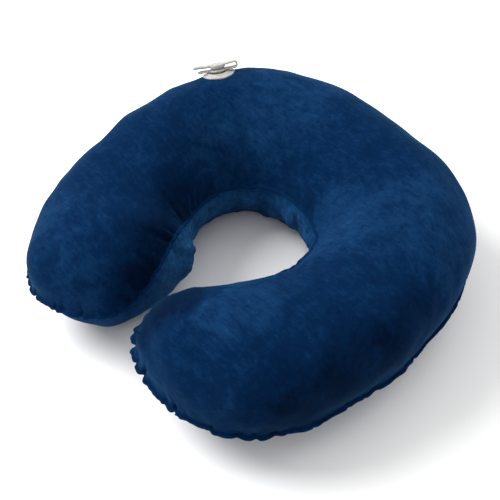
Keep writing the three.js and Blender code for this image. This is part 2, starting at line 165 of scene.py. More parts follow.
class Skin:
    """Points and faces of both sheets, with the points along the weld shared."""

    def __init__(self, fineness):
        columns, rows = COLUMNS * fineness, ROWS * fineness
        left, right = LEFT_TIP_COLUMNS * fineness, RIGHT_TIP_COLUMNS * fineness
        i = np.arange(columns + 1)[:, None]
        b = np.sin(np.linspace(-1, 1, rows + 1)[None, :] * EDGE_ROWS) / math.sin(EDGE_ROWS)
        a = np.where(i < left, 1 - i / left, np.where(i > columns - right, (i - columns + right) / right, 0))
        x = a * np.sqrt(1 - b ** 2 / 2)
        y = b * np.sqrt(1 - a ** 2 / 2)
        across = np.where(x < 1 - 1e-9, y / np.sqrt(np.maximum(1 - x ** 2, 1e-12)), 0).clip(-1, 1)
        middle = TIP_LENGTH["left"] + (i - left) / (columns - left - right) * (
            RING_LENGTH - TIP_LENGTH["left"] - TIP_LENGTH["right"])
        length = np.where(i < left, TIP_LENGTH["left"] * (1 - x),
                          np.where(i > columns - right, RING_LENGTH - TIP_LENGTH["right"] * (1 - x), middle))
        angle = np.interp(length, ring_lengths, ring_angles)
        outer = -np.radians(varied(OUTER_SEAM_DROP, angle, 1))
        inner = np.pi - np.radians(varied(INNER_SEAM_RISE, angle, 1))
        part = (1 - across) / 2
        upper = tube_point(length, outer + part * (inner - outer))
        lower = tube_point(length, outer + part * (inner - 2 * np.pi - outer))

        self.shape = (columns + 1, rows + 1)
        count = (columns + 1) * (rows + 1)
        self.upper = np.arange(count).reshape(self.shape)
        weld = np.zeros(self.shape, bool)
        weld[[0, -1]] = True
        weld[:, [0, -1]] = True
        self.lower = self.upper.copy()
        self.lower[~weld] = count + np.arange((~weld).sum())
        self.points = np.concatenate([upper.reshape(-1, 3), lower[~weld]])
        self.inside = ~weld
        u, w = self.upper, self.lower
        self.upper_faces = np.stack([u[:-1, :-1], u[1:, :-1], u[1:, 1:], u[:-1, 1:]], -1).reshape(-1, 4)
        self.lower_faces = np.stack([w[:-1, :-1], w[:-1, 1:], w[1:, 1:], w[1:, :-1]], -1).reshape(-1, 4)
        half = columns // 2
        self.weld = np.concatenate([u[half:, -1], u[-1, -2::-1], u[-2::-1, 0], u[0, 1:], u[1:half, -1]])
        self.weld_zone = np.concatenate([
            np.linspace(0, 1, len(u[half:, -1])), 1 + np.linspace(0, 1, rows),
            2 + np.linspace(0, 2, columns), 4 + np.linspace(0, 1, rows), 5 + np.linspace(0, 1, half - 1)])

    def sheets_of(self, values):
        """Values at the points, as one grid for each sheet."""
        return values[self.upper], values[self.lower]

    def values_of(self, upper, lower):
        """The reverse of sheets_of."""
        return np.concatenate([upper.reshape(-1, upper.shape[-1]), lower[self.inside]])

    def normals(self, points):
        faces = np.concatenate([self.upper_faces, self.lower_faces])
        corners = points[faces]
        face_normals = np.cross(corners[:, 2] - corners[:, 0], corners[:, 3] - corners[:, 1])
        normals = np.zeros_like(points)
        for k in range(4):
            np.add.at(normals, faces[:, k], face_normals)
        return normals / np.maximum(np.linalg.norm(normals, axis=1, keepdims=True), 1e-12)

    def from_weld(self, points):
        """For each point, how far it is from the weld, and where along the weld the nearest place is."""
        loop = points[self.weld]
        places = lengths_along(loop)
        tree = KDTree(len(loop))
        for i, point in enumerate(loop):
            tree.insert(point, i)
        tree.balance()
        found = [tree.find(point) for point in points]
        nearest = np.array([item[1] for item in found])
        return np.array([item[2] for item in found]), places[nearest], places


def smoothstep(value, low, high):
    t = np.clip((value - low) / (high - low), 0, 1)
    return t * t * (3 - 2 * t)


def waves(points, wavelength, seed, count=14):
    """Smooth uneven swell of about unit height."""
    rng = np.random.default_rng(seed)
    directions = rng.normal(size=(count, 3))
    directions /= np.linalg.norm(directions, axis=1, keepdims=True)
    lengths = wavelength * rng.uniform(0.7, 1.5, count)
    phases = rng.uniform(0, 2 * np.pi, count)
    total = np.zeros(len(points))
    for direction, length, phase in zip(directions, lengths, phases):
        total += np.sin(points @ direction * 2 * np.pi / length + phase)
    return total / math.sqrt(count / 2)


# ---------------------------------------------------------------- creases that run in from the weld
# Zones round the weld: 0 back of the outer seam, 1 where the right tip begins, 2 the right tip's neck side,
# 3 back of the neck seam, 4 the left tip's neck side, 5 where that tip meets the outer seam, 6 the back.
ZONES = (0, 0.5, 0.8, 1.0, 1.2, 1.5, 1.8, 2.1, 2.6, 3.0, 3.5, 3.9, 4.15, 4.4, 4.6, 5.0, 5.2, 5.5, 6)

# Wide pleats, which the cloth settles over, and fine crimps, which are added after it: mm at each of ZONES.
PLEATS = dict(
    spacing=(24, 22, 17, 12, 9, 9, 11, 15, 17, 18, 17, 13, 10, 8, 9, 13, 15, 20, 24),
    depth=(0.6, 0.9, 1.6, 3, 4.2, 4.2, 3, 1.6, 1.4, 1.2, 1.4, 2.4, 3.6, 3.6, 2.6, 2, 1.8, 1, 0.6),
    half_width=(4.5, 4.5, 3.6, 3, 2.6, 2.6, 2.8, 3.2, 3.6, 4, 3.6, 3.2, 2.8, 2.6, 2.8, 3.2, 3.4, 4, 4.5),
    reach=(20, 20, 20, 22, 30, 36, 38, 42, 52, 54, 50, 40, 36, 26, 18, 16, 18, 20, 20), seed=11)
CRIMPS = dict(
    spacing=(15, 14, 12, 11, 10, 9, 11, 13, 14, 15, 14, 12, 10, 9, 10, 11, 12, 14, 15),
    depth=(0.9, 1.0, 1.0, 1.0, 1.1, 1.2, 1.2, 0.9, 0.8, 0.8, 0.8, 1.2, 1.5, 1.3, 0.9, 0.9, 1.0, 1.1, 0.9),
    half_width=(1.9, 1.9, 1.8, 1.7, 1.6, 1.6, 1.6, 1.8, 2, 2, 2, 1.8, 1.6, 1.6, 1.6, 1.6, 1.7, 1.9, 1.9),
    reach=(14, 14, 14, 15, 20, 24, 24, 20, 20, 20, 20, 20, 20, 16, 12, 11, 12, 13, 14), seed=23)

# Single deep tucks at the tips: (zone, depth, half width, reach, lean), in mm.
TUCKS = (
    (0.82, 1.6, 2, 16, 0.1), (0.9, 1.9, 2, 18, -0.1), (1.03, 4.2, 2.9, 30, 0.2),
    (1.13, 2.0, 2.1, 24, -0.2), (1.25, 4.6, 3.1, 36, 0.1), (1.35, 2.4, 2.2, 30, 0.25),
    (1.46, 3.2, 2.5, 34, 0.1), (1.6, 2.4, 2.4, 30, -0.1), (4.36, 2.6, 2.3, 24, 0.2),
    (4.46, 3.6, 2.6, 22, -0.15), (4.58, 2.4, 1.7, 12, 0.1), (4.67, 1.4, 1.5, 8, 0),
    (4.75, 2.0, 1.6, 11, -0.1), (4.86, 2.4, 1.7, 12, 0.1), (5.03, 2.2, 1.7, 12, 0.15),
    (5.1, 1.6, 1.5, 9, 0), (5.16, 1.8, 1.5, 10, -0.2))

# The low shoulders beside each groove, as shares of its depth and its half width.
SHOULDER_HEIGHT, SHOULDER_SPREAD = 0.42, 2.2


def tuck_set(zones, places):
    """The tucks as creases, each (place, depth, half width, reach, lean), in metres."""
    return [(np.interp(zone, zones, places), depth * MM, half * MM, reach * MM, lean)
            for zone, depth, half, reach, lean in TUCKS]


def crease_set(zones, places, spacing, depth, half_width, reach, seed):
    """Uneven creases all round the weld, in the same form, from values at ZONES in mm."""
    rng = np.random.default_rng(seed)
    creases = []
    place = rng.uniform(0, spacing[0] * MM)
    while place < places[-1]:
        zone = np.interp(place, places, zones)
        gap, deep, half, far = (np.interp(zone, ZONES, values) * MM
                                for values in (spacing, depth, half_width, reach))
        creases.append((place, deep * rng.uniform(0.3, 1.3) ** 2, half * rng.uniform(0.8, 1.3),
                        far * rng.uniform(0.5, 1.5), rng.uniform(-0.35, 0.35)))
        place += gap * rng.uniform(0.35, 1.8)
    return creases


def crease_offset(creases, distance, place, total):
    """How far the creases push each point out: a groove between two low shoulders, fading from the weld."""
    offset = np.zeros(len(distance))
    for at, depth, half, reach, lean in creases:
        beside = (place - at + total / 2) % total - total / 2 + lean * distance
        near = (np.abs(beside) < 4 * half) & (distance < reach)
        t = distance[near] / reach
        fade = (1 - t) ** 2 * (1 + 2 * t)
        across = beside[near] / half
        shoulders = SHOULDER_HEIGHT * np.exp(-(across / SHOULDER_SPREAD) ** 2)
        offset[near] += depth * fade * (shoulders - np.exp(-across ** 2))
    return offset


# The valve's own frame comes from the joints: x along the arm, y across it and z out of the sheet.
joints = {joint["name"]: joint for joint in frame["joints"]}
VALVE_OUT = Vector(joints["stem_push"]["axis"])
VALVE_ACROSS = Vector(joints["cap_swing"]["axis"])
VALVE_ALONG = VALVE_ACROSS.cross(VALVE_OUT)
CAP_PIVOT = Vector(joints["cap_swing"]["pos_m"])
PIVOT_IN_VALVE = (15.55 * MM, 9.6 * MM)
VALVE_SEAT = CAP_PIVOT - VALVE_ALONG * PIVOT_IN_VALVE[0] - VALVE_OUT * PIVOT_IN_VALVE[1]
VALVE_FRAME = Matrix((VALVE_ALONG, VALVE_ACROSS, VALVE_OUT)).transposed().to_4x4()
VALVE_FRAME.translation = VALVE_SEAT


def away_from_valve(points, low=0.0165, high=0.03):
    """0 under the valve's flange, rising to 1, so that the sheet stays plain under it."""
    return smoothstep(np.linalg.norm(points - np.array(VALVE_SEAT), axis=1), low, high)


# ---------------------------------------------------------------- cloth: pleats settle under air pressure
PRESSURE, CLOTH_FRAMES, LARGEST_MOVE = 4, 18, 0.004
HELD_WEIGHTS = (0.25, 0.5, 0.75, 1.0)
SWELLS = ((0.052, 5, 0.7), (0.024, 6, 0.22))  # wavelength in metres, seed, height in mm
SLACK = 1.5
BLUR_PASSES = 60
FLOOR_START = 0.0005


def settled(start, rest, skin, held):
    """The skin after it is blown up from start, with the lengths that it has in rest."""
    faces = [tuple(face) for face in np.concatenate([skin.upper_faces, skin.lower_faces]).tolist()]
    mesh = bpy.data.meshes.new("air_chamber")
    mesh.from_pydata(start.tolist(), [], faces)
    chamber = bpy.data.objects.new("air_chamber", mesh)
    scene.collection.objects.link(chamber)
    chamber.shape_key_add(name="start")
    key = chamber.shape_key_add(name="rest")
    key.data.foreach_set("co", rest.astype(np.float32).ravel())
    group = chamber.vertex_groups.new(name="held")
    for weight in HELD_WEIGHTS:
        members = np.nonzero(np.abs(held - weight) < 0.125)[0].tolist()
        group.add(members, weight, "REPLACE")
    modifier = chamber.modifiers.new("cloth", "CLOTH")
    cloth = modifier.settings
    cloth.quality = 5
    cloth.mass = 0.05
    cloth.use_pressure = True
    cloth.uniform_pressure_force = PRESSURE
    cloth.effector_weights.gravity = 0
    cloth.rest_shape_key = key
    cloth.vertex_group_mass = "held"
    cloth.tension_stiffness = 40
    cloth.compression_stiffness = 20
    cloth.shear_stiffness = 12
    cloth.bending_stiffness = 0.3
    modifier.point_cache.frame_start = 1
    modifier.point_cache.frame_end = CLOTH_FRAMES + 1
    for number in range(1, CLOTH_FRAMES + 1):
        scene.frame_set(number)
    shaped = chamber.evaluated_get(bpy.context.evaluated_depsgraph_get())
    points = np.zeros(len(start) * 3, np.float32)
    shaped.data.vertices.foreach_get("co", points)
    scene.frame_set(1)
    bpy.data.objects.remove(chamber)
    bpy.data.meshes.remove(mesh)
    return points.reshape(-1, 3).astype(float)


def blurred(grid, passes):
    """The grid smoothed, each pass mixing every value with its four neighbours."""
    for _ in range(passes):
        padded = np.pad(grid, ((1, 1), (1, 1), (0, 0)), mode="edge")
        grid = (padded[:-2, 1:-1] + padded[2:, 1:-1] + padded[1:-1, :-2] + padded[1:-1, 2:] + 2 * grid) / 6
    return grid


def refined(grid, times):
    """The same field on a grid that many times as fine, along both sides."""
    for axis in (0, 1):
        grid = np.moveaxis(grid, axis, 0)
        padded = np.concatenate([2 * grid[:1] - grid[1:2], grid, 2 * grid[-1:] - grid[-2:-1]])
        a, b, c, d = padded[:-3], padded[1:-2], padded[2:-1], padded[3:]
        finer = np.empty((times * (len(grid) - 1) + 1,) + grid.shape[1:])
        for k in range(times):
            t = k / times
            bend = 2 * a - 5 * b + 4 * c - d + t * (3 * (b - c) + d - a)
            finer[k:-1:times] = b + 0.5 * t * (c - a + t * bend)
        finer[-1] = grid[-1]
        grid = np.moveaxis(finer, 0, axis)
    return grid


coarse, fine = Skin(1), Skin(FINENESS)


def cloth_moves():
    """How the blown up skin differs from the smooth tube, on the fine grid."""
    start = coarse.points
    distance, place, place_of_weld = coarse.from_weld(start)
    normals = coarse.normals(start)
    pleats = crease_set(coarse.weld_zone, place_of_weld, **PLEATS)
    swell = sum(waves(start, length, seed) * height * MM for length, seed, height in SWELLS)
    offset = (crease_offset(pleats, distance, place, place_of_weld[-1]) + swell) * away_from_valve(start)
    offset *= smoothstep(start[:, 2], FLOOR_START, 0.012)
    begun = start + normals * offset[:, None]
    slack = start + normals * (offset * SLACK)[:, None]
    held = 1 - smoothstep(start[:, 2], FLOOR_START, 0.006)
    held = np.maximum(held, 1 - away_from_valve(start, 0.015, 0.022))
    moved = settled(begun, slack, coarse, np.round(held * 4) / 4) - begun
    upper, lower = coarse.sheets_of(moved)
    ripples = coarse.values_of(*(grid - blurred(grid, BLUR_PASSES) for grid in (upper, lower)))
    size = np.linalg.norm(ripples, axis=1, keepdims=True)
    ripples *= LARGEST_MOVE * np.tanh(size / LARGEST_MOVE) / np.maximum(size, 1e-9)
    moves = begun - start + ripples
    upper, lower = (refined(grid, FINENESS) for grid in coarse.sheets_of(moves))
    return fine.values_of(upper, lower)


# The corners of the tips are drawn in to a flat web beside the weld.
PINCH_ZONES = (0, 0.95, 1.15, 1.3, 1.6, 1.9, 4.15, 4.35, 4.5, 4.7, 5.1, 5.3, 6)
PINCH_DEPTHS = (0, 0, 2.5, 5, 5, 0, 0, 2.5, 3, 1, 1, 0, 0)
PINCH_REACH = 13 * MM
RIDGE_HEIGHT, RIDGE_REACH = 1.3 * MM, 3.2 * MM
NECK_WRINKLE = 1.1 * MM
NECK_WAVES, SMALL_NECK_WAVES, SMALL_NECK_SHARE = (0.019, 41), (0.009, 42), 0.45


def neck_wrinkles(distance, zone):
    """Puckered plush on the lower sheet, where it is the wall of the neck opening."""
    lower = np.zeros(len(fine.points))
    lower[fine.lower[fine.inside]] = 1
    beside_neck = smoothstep(zone, 2.0, 2.5) * (1 - smoothstep(zone, 3.8, 4.3))
    below_seam = smoothstep(distance, 0.002, 0.012) * (1 - smoothstep(distance, 0.04, 0.06))
    pucker = waves(fine.points * (1, 1, 0.7), *NECK_WAVES)
    pucker = pucker + SMALL_NECK_SHARE * waves(fine.points, *SMALL_NECK_WAVES)
    return NECK_WRINKLE * lower * beside_neck * below_seam * pucker


def skin_points():
    """The finished skin: the settled cloth, then crimps and tucks beside the weld, and the neck's puckers."""
    points = fine.points + cloth_moves()
    distance, place, places = fine.from_weld(fine.points)
    normals = fine.normals(points)
    crimps = crease_set(fine.weld_zone, places, **CRIMPS) + tuck_set(fine.weld_zone, places)
    offset = crease_offset(crimps, distance, place, places[-1])
    ridge = RIDGE_HEIGHT * np.exp(-distance / RIDGE_REACH)
    zone = np.interp(place, places, fine.weld_zone)
    pinch = np.interp(zone, PINCH_ZONES, PINCH_DEPTHS) * MM
    web = distance / PINCH_REACH * np.exp(1 - distance / PINCH_REACH)
    offset = offset + ridge - pinch * web + neck_wrinkles(distance, zone)
    offset = offset * smoothstep(points[:, 2], FLOOR_START, 0.008) * away_from_valve(points)
    points = points + normals * offset[:, None]
    points[:, 2] = np.maximum(points[:, 2], 0)
    return points


def make_mesh(name, points, faces):
    mesh = bpy.data.meshes.new(name)
    mesh.from_pydata(np.asarray(points, float).tolist(), [], [tuple(face) for face in faces])
    mesh.validate()
    mesh.polygons.foreach_set("use_smooth", [True] * len(mesh.polygons))
    made = bpy.data.objects.new(name, mesh)
    scene.collection.objects.link(made)
    return made


def make_sheet(name, points, faces, hole=None):
    """One sheet of the skin, with a round hole of that radius under the valve if it has one."""
    if hole is not None:
        middle = points[faces].mean(axis=1)
        faces = faces[np.linalg.norm(middle - np.array(VALVE_SEAT), axis=1) > hole]
    used, renumbered = np.unique(faces, return_inverse=True)
    return make_mesh(name, points[used], renumbered.reshape(-1, 4).tolist())


# ---------------------------------------------------------------- weld rim
# Widths of the band in mm, by zone; its ruffles' lengths and height in mm; how much its edge scallops.
RIM_OUTER, RIM_INNER, RIM_TIP = 3.0, 2.0, 1.6
RIM_ZONES = (0, 0.9, 1.3, 2, 4, 4.3, 5, 5.3, 6)
RIM_WIDTHS = (RIM_OUTER, RIM_OUTER, RIM_TIP, RIM_INNER, RIM_INNER, RIM_TIP, RIM_TIP, RIM_OUTER, RIM_OUTER)
RUFFLE_WAVES, RUFFLE_LENGTHS, RUFFLE_HEIGHT, RUFFLE_SEED = 16, (22, 60), 0.6, 31
SCALLOP_SHARE, SCALLOPS_PER_RUFFLE = 0.05, 1.7
RIM_DROOP, TOWARDS_EDGE = 1.1, 1.5
RIM_BLUR_PASSES = 10

# The band's cross section, each (share of its width outwards from the weld line, mm up); a place inwards of
# the line is in mm.
RIM_SECTION = ((-0.9, 0.5), (0.1, 0.56), (0.16, 0.44), (0.34, 0.40), (0.42, 0.52), (0.8, 0.5), (0.96, 0.36),
               (1, 0.1), (1, -0.1), (0.96, -0.36), (0.8, -0.5), (0.42, -0.52), (0.34, -0.4), (0.16, -0.44),
               (0.1, -0.56), (-0.9, -0.5))


def ring_faces(columns, rows, closed_columns=True):
    """Faces of a grid whose rows close up into rings, and whose columns may."""
    i = np.arange(columns if closed_columns else columns - 1)[:, None]
    j = np.arange(rows)[None, :]
    step, side = (i + 1) % columns, (j + 1) % rows
    corners = np.stack([i * rows + j, step * rows + j, step * rows + side, i * rows + side], -1)
    return corners.reshape(-1, 4).tolist()


def make_rim(points):
    """The margins fused by the weld: a thin, slightly ruffled band that stands out all round the skin."""
    loop = points[fine.weld]
    count = len(loop)
    ahead, behind = np.roll(loop, -4, axis=0), np.roll(loop, 4, axis=0)
    tangent = ahead - behind
    away = np.stack([-tangent[:, 1], tangent[:, 0], np.zeros(count)], -1)
    for _ in range(RIM_BLUR_PASSES):
        away = (np.roll(away, 1, axis=0) + away + np.roll(away, -1, axis=0)) / 3
    away /= np.linalg.norm(away, axis=1, keepdims=True)
    places = lengths_along(loop)
    total = places[-1]
    width = np.interp(fine.weld_zone, RIM_ZONES, RIM_WIDTHS) * MM
    rng = np.random.default_rng(RUFFLE_SEED)
    ruffle, scallop = np.zeros(count), np.zeros(count)
    for _ in range(RUFFLE_WAVES):
        turns = round(total / (rng.uniform(*RUFFLE_LENGTHS) * MM))
        phase = rng.uniform(0, 2 * np.pi)
        ruffle += np.sin(2 * np.pi * turns * places / total + phase) / 4
        scallops = round(turns * SCALLOPS_PER_RUFFLE)
        scallop += np.sin(2 * np.pi * scallops * places / total + 2 * phase) / 4
    rows = []
    for u, w in RIM_SECTION:
        reach = np.where(u < 0, u * MM, u * width * (1 + SCALLOP_SHARE * scallop * (u > 0.5)))
        outwards = max(u, 0) ** TOWARDS_EDGE
        lift = w * MM + ruffle * RUFFLE_HEIGHT * MM * outwards * width / (RIM_OUTER * MM)
        row = loop + away * reach[:, None]
        row[:, 2] += lift - RIM_DROOP * MM * outwards
        rows.append(row)
    return make_mesh("weld_rim", np.stack(rows, 1).reshape(-1, 3), ring_faces(count, len(rows)))


# ---------------------------------------------------------------- materials
def linear(*levels):
    """A colour for the shader from its levels out of 255 on a screen."""
    return tuple((level / 255 / 12.92) if level <= 10 else ((level / 255 + 0.055) / 1.055) ** 2.4
                 for level in levels) + (1,)


def grey(value):
    return value, value, value, 1


class Nodes:
    """A material and the nodes that feed its Principled shader."""

    def __init__(self, name):
        self.material = bpy.data.materials.new(name)
        self.material.use_nodes = True
        self.tree = self.material.node_tree
        self.shader = self.tree.nodes["Principled BSDF"]
        self.place = self.add("ShaderNodeTexCoord").outputs["Object"]

    def add(self, kind, **settings):
        node = self.tree.nodes.new(kind)
        for key, value in settings.items():
            setattr(node, key, value)
        return node

    def link(self, output, socket):
        self.tree.links.new(output, socket)

    def noise_node(self, scale, detail, roughness, distortion=0.0, place=None):
        node = self.add("ShaderNodeTexNoise")
        for name, value in (("Scale", scale), ("Detail", detail), ("Roughness", roughness),
                            ("Distortion", distortion)):
            node.inputs[name].default_value = value
        self.link(place or self.place, node.inputs["Vector"])
        return node

    def noise(self, scale, detail, roughness=0.5, distortion=0.0, place=None):
        return self.noise_node(scale, detail, roughness, distortion, place).outputs["Fac"]

    def shifted_place(self, scale, detail, roughness, amount):
        """The place, shifted by up to about half the amount either way."""
        node = self.noise_node(scale, detail, roughness)
        centred = self.add("ShaderNodeVectorMath", operation="SUBTRACT")
        self.link(node.outputs["Color"], centred.inputs[0])
        centred.inputs[1].default_value = (0.5,) * 3
        shift = self.add("ShaderNodeVectorMath", operation="MULTIPLY_ADD")
        self.link(centred.outputs["Vector"], shift.inputs[0])
        shift.inputs[1].default_value = (amount,) * 3
        self.link(self.place, shift.inputs[2])
        return shift.outputs["Vector"]

    def near(self, place, centre, radius):
        """1 near the centre, falling softly to 0 a little past the radius."""
        apart = self.add("ShaderNodeVectorMath", operation="DISTANCE")
        self.link(place, apart.inputs[0])
        apart.inputs[1].default_value = centre
        node = self.add("ShaderNodeMapRange", interpolation_type="SMOOTHSTEP")
        for name, value in (("From Min", 1.15 * radius), ("From Max", 0.45 * radius),
                            ("To Min", 0.0), ("To Max", 1.0)):
            node.inputs[name].default_value = value
        self.link(apart.outputs["Value"], node.inputs["Value"])
        return node.outputs["Result"]

    def ramp(self, value, stops):
        """The colour that the value picks from (position, colour) stops."""
        stops = tuple(stops)
        node = self.add("ShaderNodeValToRGB")
        elements = node.color_ramp.elements
        while len(elements) < len(stops):
            elements.new(0.5)
        for element, (position, colour) in zip(elements, stops):
            element.position = position
            element.color = colour
        self.link(value, node.inputs["Fac"])
        return node.outputs["Color"]

    def scaled_sum(self, value, factor, total):
        """value * factor + total, where the value is a socket and the other two may be numbers."""
        node = self.add("ShaderNodeMath", operation="MULTIPLY_ADD")
        for socket, given in zip(node.inputs, (value, factor, total)):
            if isinstance(given, (float, int)):
                socket.default_value = given
            else:
                self.link(given, socket)
        return node.outputs[0]

    def bump(self, height, strength, distance, normal=None):
        node = self.add("ShaderNodeBump")
        node.inputs["Strength"].default_value = strength
        node.inputs["Distance"].default_value = distance
        self.link(height, node.inputs["Height"])
        if normal is not None:
            self.link(normal, node.inputs["Normal"])
        return node.outputs["Normal"]

    def set(self, **values):
        for key, value in values.items():
            self.shader.inputs[key.replace("_", " ")].default_value = value


# Painted light and shade on the upper sheet: spots placed where the light falls brightest or the shade
# gathers, each (x, y, z, radius) in mm and how far it moves the plush's tone towards bright; below 0 it
# paints shade.
PAINTED_LIGHT_AND_SHADE = (
    (-50, -14, 76, 38, -0.11), (-42, -50, 80, 38, -0.10), (-28, -88, 72, 38, -0.11),
    (-20, -112, 62, 30, -0.08), (-66, 30, 86, 54, 0.06), (174, 6, 72, 40, -0.08),
    (170, -42, 68, 44, -0.11), (160, -86, 60, 42, -0.12), (146, -118, 52, 36, -0.1),
    (-38, -150, 78, 34, 0.04), (64, 30, 88, 50, 0.09), (78, -88, 104, 44, 0.07),
    (24, -136, 80, 30, -0.14), (38, -114, 94, 26, -0.17), (50, -92, 92, 22, -0.12),
    (130, 92, 98, 70, 0.06), (-60, 108, 108, 60, 0.05), (-90, -132, 98, 40, 0.03))
# Painted light on the lower sheet's wall of the neck opening, in place of the light that the floor bounces
# into it.
NECK_PAINTED_LIGHT = ((-26, -22, 46, 100, 0.17),)
PATCH_SHIFT = 34 * MM
NAP_WEIGHTS = dict(cloud=0.22, tufts=0.16, strokes=0.22, fibres=0.12)
NAP_STOPS = (0.32, 0.5, 0.64, 0.78)
STROKE_STRETCH = (1, 3.2, 2.4)
FLOCK_SHEEN, SHEEN_TINT = 0.1, (0.12, 0.5, 1, 1)


def flock_material(name, colours, roughness=0.95, painted_patches=(), pressed=False):
    """Short plush. One value, made of noises in the plush and of spots of painted light and shade, picks its
    colour from dark to bright.
    """
    n = Nodes(name)
    stretch = n.add("ShaderNodeMapping")
    stretch.inputs["Scale"].default_value = STROKE_STRETCH
    n.link(n.place, stretch.inputs["Vector"])
    values = dict(cloud=n.noise(24, 4, 0.6, 2.2), tufts=n.noise(120, 4, 0.6, 0.8),
                  strokes=n.noise(95, 4, 0.65, 0.9, stretch.outputs["Vector"]),
                  fibres=n.noise(1500, 2, 0.7))
    nap_and_painted_light = (1 - sum(NAP_WEIGHTS.values())) / 2
    for key, weight in NAP_WEIGHTS.items():
        nap_and_painted_light = n.scaled_sum(values[key], weight, nap_and_painted_light)
    ragged = n.shifted_place(42, 5, 0.7, PATCH_SHIFT)
    # Each spot paints light on the plush, or shade where its amount is below 0.
    for x, y, z, radius, painted_light_shift in painted_patches:
        inside = n.near(ragged, (x * MM, y * MM, z * MM), radius * MM)
        nap_and_painted_light = n.scaled_sum(inside, painted_light_shift, nap_and_painted_light)
    n.link(n.ramp(nap_and_painted_light, zip(NAP_STOPS, colours)), n.shader.inputs["Base Color"])
    rough = n.ramp(values["tufts"], ((0.2, grey(roughness - 0.08)), (0.8, grey(min(roughness + 0.06, 1)))))
    n.link(rough, n.shader.inputs["Roughness"])
    n.set(Sheen_Weight=FLOCK_SHEEN, Sheen_Roughness=0.4, Sheen_Tint=SHEEN_TINT, Specular_IOR_Level=0.03)
    normal = n.bump(n.noise(55, 3, 0.55, 0.5), 0.35, 1.2 * MM)
    normal = n.bump(values["strokes"], 0.4, 0.5 * MM, normal)
    normal = n.bump(values["tufts"], 0.4, 0.4 * MM, normal)
    normal = n.bump(values["fibres"], 0.5, 0.14 * MM, normal)
    if pressed:
        ribs = n.add("ShaderNodeTexWave", wave_type="BANDS", bands_direction="DIAGONAL")
        ribs.inputs["Scale"].default_value = 420
        n.link(n.place, ribs.inputs["Vector"])
        normal = n.bump(ribs.outputs["Fac"], 0.35, 0.12 * MM, normal)
    n.link(normal, n.shader.inputs["Normal"])
    return n.material


flock = flock_material(
    "flock", (linear(0, 14, 38), linear(2, 30, 63), linear(15, 50, 87), linear(36, 74, 113)),
    painted_patches=PAINTED_LIGHT_AND_SHADE)
# The lower sheet's plush in paler tones than the upper sheet's: painted light, in place of the light that the
# floor bounces up onto it.
under_flock_painted_light = flock_material(
    "under_flock_painted_light", (linear(0, 20, 48), linear(3, 36, 72), linear(22, 64, 106), linear(44, 92, 138)),
    painted_patches=NECK_PAINTED_LIGHT)
pressed_flock = flock_material(
    "pressed_flock", (linear(0, 22, 50), linear(1, 31, 65), linear(6, 44, 83), linear(8, 46, 86)),
    roughness=0.9, pressed=True)


def pvc_material(name, colour, shade, roughness, transmission=0.0):
    """Soft moulded PVC, faintly cloudy and scuffed."""
    n = Nodes(name)
    cloud = n.noise(240, 3, 0.5, 0.4)
    n.link(n.ramp(cloud, ((0.3, shade), (0.7, colour))), n.shader.inputs["Base Color"])
    scuff = n.noise(900, 4, 0.6)
    rough = n.ramp(scuff, ((0.3, grey(roughness)), (0.75, grey(roughness + 0.14))))
    n.link(rough, n.shader.inputs["Roughness"])
    n.link(n.bump(scuff, 0.3, 0.05 * MM, n.bump(cloud, 0.3, 0.15 * MM)), n.shader.inputs["Normal"])
    n.set(Subsurface_Weight=0.25, Subsurface_Radius=(0.004, 0.004, 0.0038), Subsurface_Scale=0.5,
          Transmission_Weight=transmission, IOR=1.5)
    return n.material


white_pvc = pvc_material("white_pvc", linear(172, 170, 165), linear(158, 156, 150), 0.45)
clear_pvc = pvc_material("clear_pvc", linear(220, 226, 222), linear(206, 214, 208), 0.25, 0.5)


def finish_piece(piece, material, body, slot, *nodes):
    piece.data.materials.clear()
    piece.data.materials.append(material)
    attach(piece, body)
    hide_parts(*nodes)
    return piece


# ---------------------------------------------------------------- pillow
VALVE_HOLE = 9.2 * MM

points = skin_points()
upper_sheet = make_sheet("upper_sheet", points, fine.upper_faces, hole=VALVE_HOLE)
lower_sheet = make_sheet("lower_sheet", points, fine.lower_faces)
weld_rim = make_rim(points)
finish_piece(upper_sheet, flock, "pillow", "flocked_sheet", "top_sheet")
finish_piece(lower_sheet, under_flock_painted_light, "pillow", "flocked_sheet", "bottom_sheet")
finish_piece(weld_rim, pressed_flock, "pillow", "welded_flock", "weld_band")


# ---------------------------------------------------------------- valve, in mm in its own frame
VALVE_ANGLE = math.radians(-55)
VALVE_LENGTH = np.interp(VALVE_ANGLE, ring_angles, ring_lengths)
VALVE_TURN = math.radians(60)
VALVE_REACH = 12 * MM
STRAP_TURN = math.radians(-11)
TO_MM = 1000
VOXEL, SMOOTHING_PASSES = 0.16, 6
CORNER_STEPS, TONGUE_STEPS = 4, 14
STEM_RADIUS, STEM_BORE, STEM_TOP, STEM_BOTTOM = 4.7, 2.9, 5.6, -15
COLLAR_RADIUS, COLLAR_BORE, COLLAR_TAIL_X = 8, 5.05, -19
STRAP_WIDTH, STRAP_THICKNESS, STRAP_BASE = 7.4, 1.6, 2.6
HAIRPIN_X, HAIRPIN_RADIUS = 15.7, 3.5
BEND_DEPTH, BEND_THICKNESS = 0.2, 1.0
CAP_RADIUS, CAP_BASE, CAP_TAB_X, CAP_TAB_THICKNESS = 7.4, 6, -23, 2.2
GRIP_PLACES = (-20.6, -19.2, -17.8)


